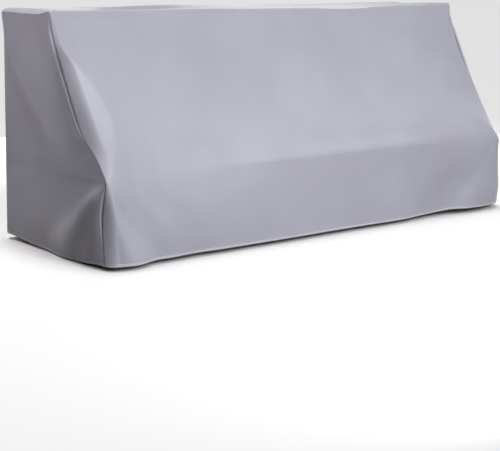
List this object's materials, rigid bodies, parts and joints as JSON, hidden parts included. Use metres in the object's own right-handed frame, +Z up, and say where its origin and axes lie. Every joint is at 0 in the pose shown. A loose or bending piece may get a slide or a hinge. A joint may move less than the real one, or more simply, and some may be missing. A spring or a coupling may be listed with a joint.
{
  "type": "upright piano cover",
  "caption": "Fitted dust cover for an upright piano in coated cloth, with a flat top, sloping front, straight apron, side panels and plain back, hollow and open below.",
  "frame": {"origin": "middle of the underside of the top, where the cover rests", "axes": "+X along the width, +Y to the back, +Z up"},
  "size_m": [1.5437, 0.5637, 0.6524],
  "materials": {
    "coated_cloth": "satin, coated face with a fine grain"
  },
  "bodies": {
    "root": {"main_panel": "coated_cloth", "side_panel_left": "coated_cloth", "side_panel_right": "coated_cloth"}
  },
  "joints": []
}
